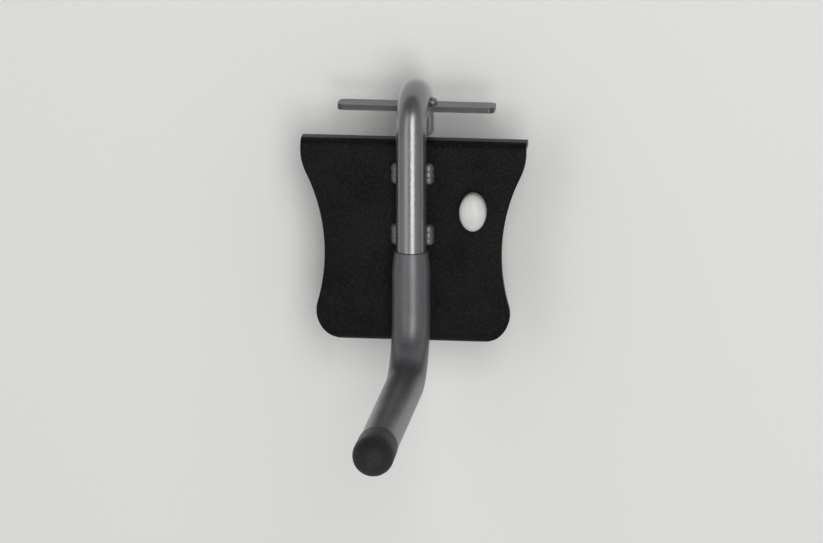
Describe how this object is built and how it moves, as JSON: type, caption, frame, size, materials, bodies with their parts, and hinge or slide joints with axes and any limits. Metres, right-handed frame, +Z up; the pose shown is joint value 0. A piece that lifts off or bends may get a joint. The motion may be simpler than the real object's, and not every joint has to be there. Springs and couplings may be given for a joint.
{
  "type": "bike wall hook",
  "caption": "Slat-panel bike hook: hollow-sided back plate, bent steel rod that hangs on the panel lip, soft-sleeved arm for a frame tube and a quarter-turn lock.",
  "frame": {"origin": "in the hook's middle plane, on the panel's front face, at the top edge of the panel lip that the hook hangs on", "axes": "+X to the right along the panel, +Y into the panel, +Z up; the arm reaches out towards -Y"},
  "size_m": [0.089, 0.168, 0.123],
  "materials": {
    "black_steel": "satin black powder coat",
    "rod_steel": "glossy dark grey coat",
    "sleeve_rubber": "soft grey satin",
    "cap_rubber": "dull black",
    "knob_plastic": "light grey moulding",
    "zinc_steel": "zinc plated",
    "cam_plastic": "moulded black"
  },
  "bodies": {
    "hook": {"back_plate": "black_steel", "hook_rod": "rod_steel", "left_seat_lug": "black_steel", "right_seat_lug": "black_steel", "rod_welds": "black_steel", "lug_welds": "black_steel", "grip_sleeve": "sleeve_rubber", "arm_cap": "cap_rubber"},
    "lock": {"lock_knob": "knob_plastic", "lock_washer": "zinc_steel", "lock_cam": "cam_plastic", "lock_screw": "zinc_steel"}
  },
  "joints": [
    {"name": "lock_turn", "type": "hinge", "parent": "hook", "child": "lock", "pos_m": [0.024, -0.00725, -0.037], "axis": [0, -1, 0], "range_deg": [0, 90]}
  ]
}
